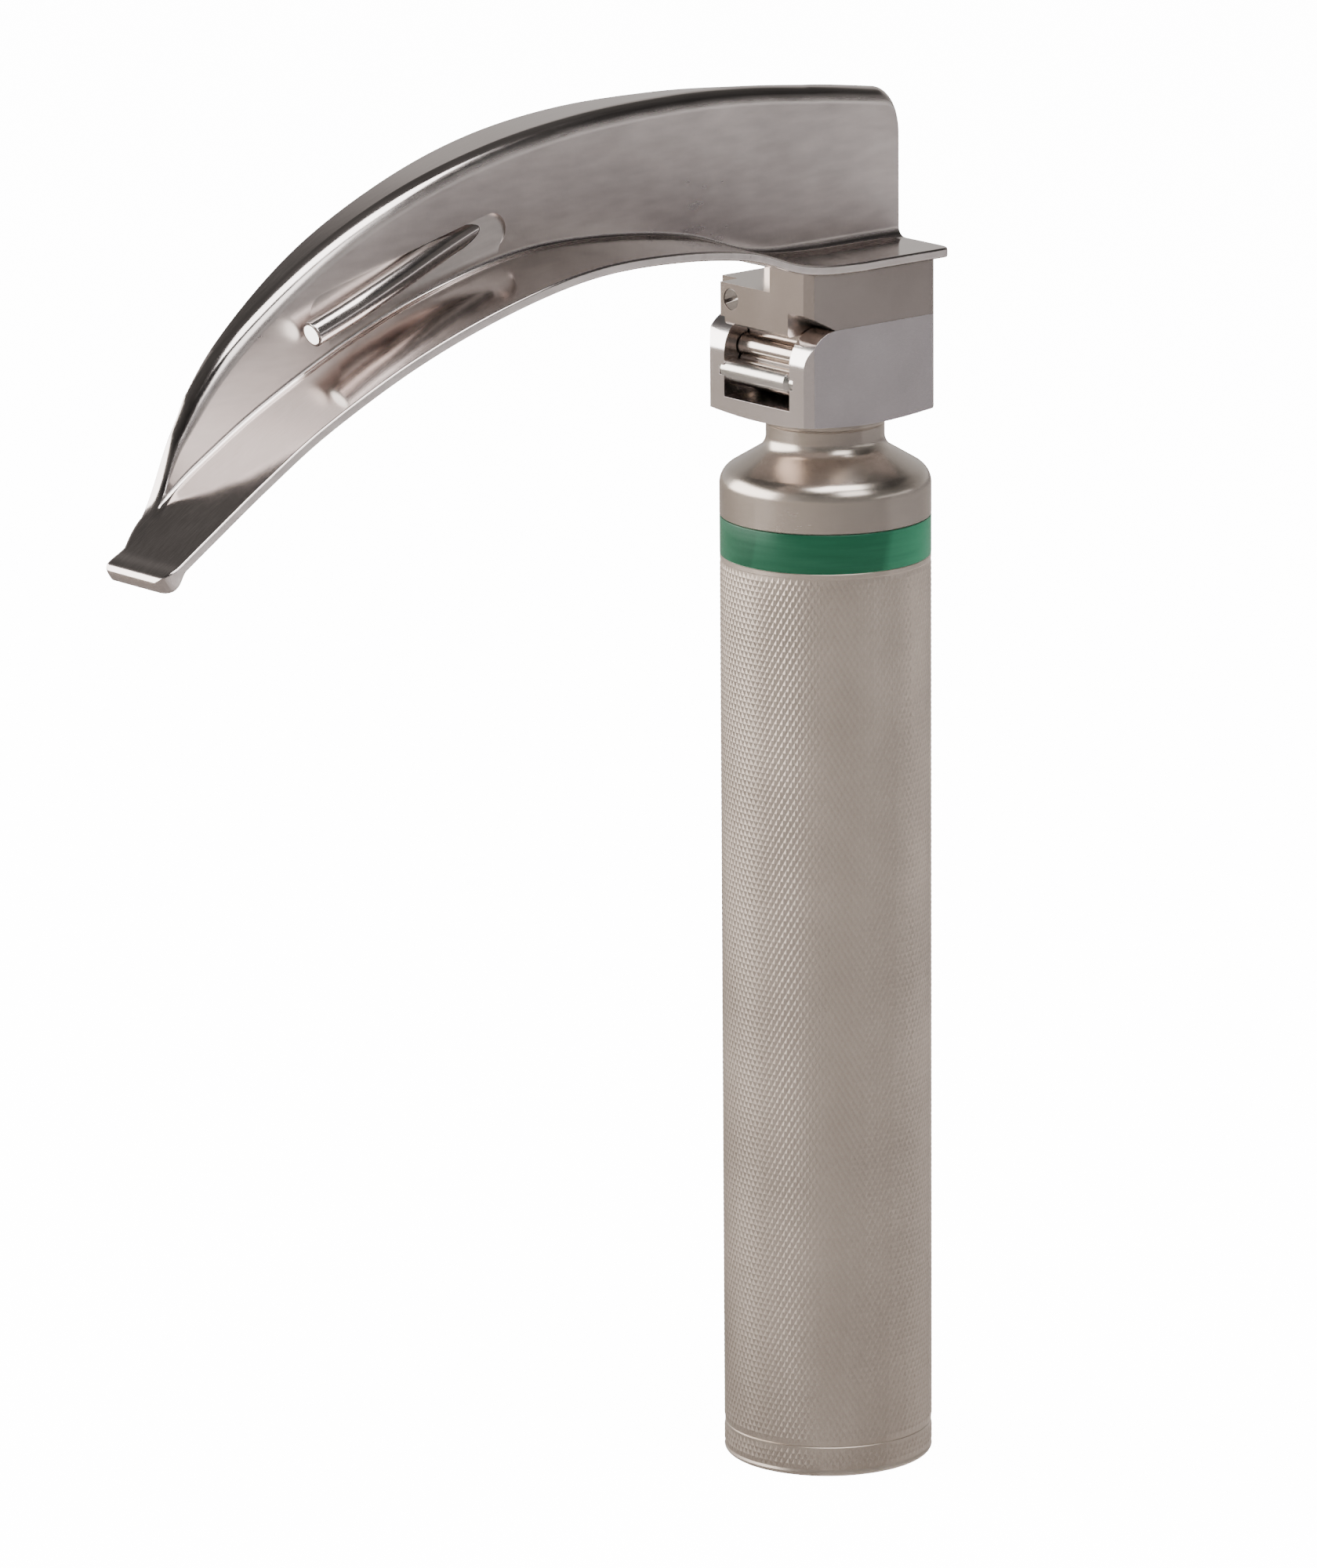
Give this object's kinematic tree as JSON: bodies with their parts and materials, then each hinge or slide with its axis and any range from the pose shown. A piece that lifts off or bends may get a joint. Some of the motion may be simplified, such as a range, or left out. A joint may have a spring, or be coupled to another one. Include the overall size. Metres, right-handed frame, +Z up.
{
  "type": "laryngoscope",
  "caption": "Hook-on laryngoscope: knurled battery handle with a coloured ring, forked head and a curved fibre-lit blade that folds down on its pin.",
  "frame": {"origin": "centre of the flat underside of the end cap, which the handle stands on", "axes": "+Z up along the handle, -X the way the blade points, -Y towards the open side of the blade"},
  "size_m": [0.1341, 0.0292, 0.1877],
  "materials": {
    "handle_metal": "satin, fine diamond knurl on the tube and cap",
    "shoulder_metal": "satin turned",
    "ring_green": "satin anodised",
    "head_metal": "satin",
    "pin_metal": "polished",
    "blade_metal": "polished with a fine grain",
    "block_metal": "satin",
    "screw_metal": "satin",
    "guide_metal": "polished",
    "fibre": "polished fibre ends",
    "window_glass": "clear",
    "lamp_glass": "clear",
    "contact_brass": "bare",
    "spring_steel": "bright wire",
    "insulator": "moulded",
    "seal_rubber": "plain",
    "battery_jacket": "wrapped jacket"
  },
  "bodies": {
    "handle": {"handle_tube": "handle_metal", "green_ring": "ring_green", "handle_shoulder": "shoulder_metal", "neck_collar": "shoulder_metal", "head_block": "head_metal", "hinge_pin": "pin_metal", "lamp_bush": "contact_brass", "lamp_spring": "spring_steel", "spring_washer": "insulator", "contact_rod": "contact_brass", "contact_plug": "insulator", "battery_upper": "battery_jacket", "battery_lower": "battery_jacket"},
    "cap_core": {"spring_seat": "contact_brass", "cap_spring": "spring_steel"},
    "cap": {"end_cap": "handle_metal", "cap_oring": "seal_rubber"},
    "blade": {"blade_body": "blade_metal", "base_block": "block_metal", "light_guide_tube": "guide_metal", "fibre_bundle": "fibre", "light_inlet": "guide_metal", "inlet_window": "window_glass", "guide_screw": "screw_metal", "detent_spring": "spring_steel"},
    "detent_near": {"detent_ball_near": "pin_metal"},
    "detent_far": {"detent_ball_far": "pin_metal"},
    "lamp": {"lamp_plunger": "pin_metal", "lamp_bulb": "lamp_glass"}
  },
  "joints": [
    {"name": "blade_fold", "type": "hinge", "parent": "handle", "child": "blade", "pos_m": [-0.0105, 0, 0.14885], "axis": [0, -1, 0], "range_deg": [0, 80]},
    {"name": "lamp_travel", "type": "slide", "parent": "handle", "child": "lamp", "axis": [0, 0, 1], "range_m": [0, 0.0015], "deforming": ["lamp_spring"]},
    {"name": "cap_travel", "type": "slide", "parent": "handle", "child": "cap_core", "axis": [0, 0, -1], "range_m": [0, 0.006], "deforming": ["cap_spring"]},
    {"name": "cap_turn", "type": "hinge", "parent": "cap_core", "child": "cap", "pos_m": [0, 0, 0], "axis": [0, 0, 1], "range_deg": [0, 1441]},
    {"name": "near_ball_press", "type": "slide", "parent": "blade", "child": "detent_near", "axis": [0, 1, 0], "range_m": [0, 0.0002], "stiffness_N_per_m": 1500},
    {"name": "far_ball_press", "type": "slide", "parent": "blade", "child": "detent_far", "axis": [0, -1, 0], "range_m": [0, 0.0002], "stiffness_N_per_m": 1500}
  ],
  "couplings": [
    {"joint": "lamp_travel", "follows": "blade_fold", "m_per_rad": 0.0010743},
    {"joint": "cap_turn", "follows": "cap_travel", "rad_per_m": 4188.8}
  ]
}
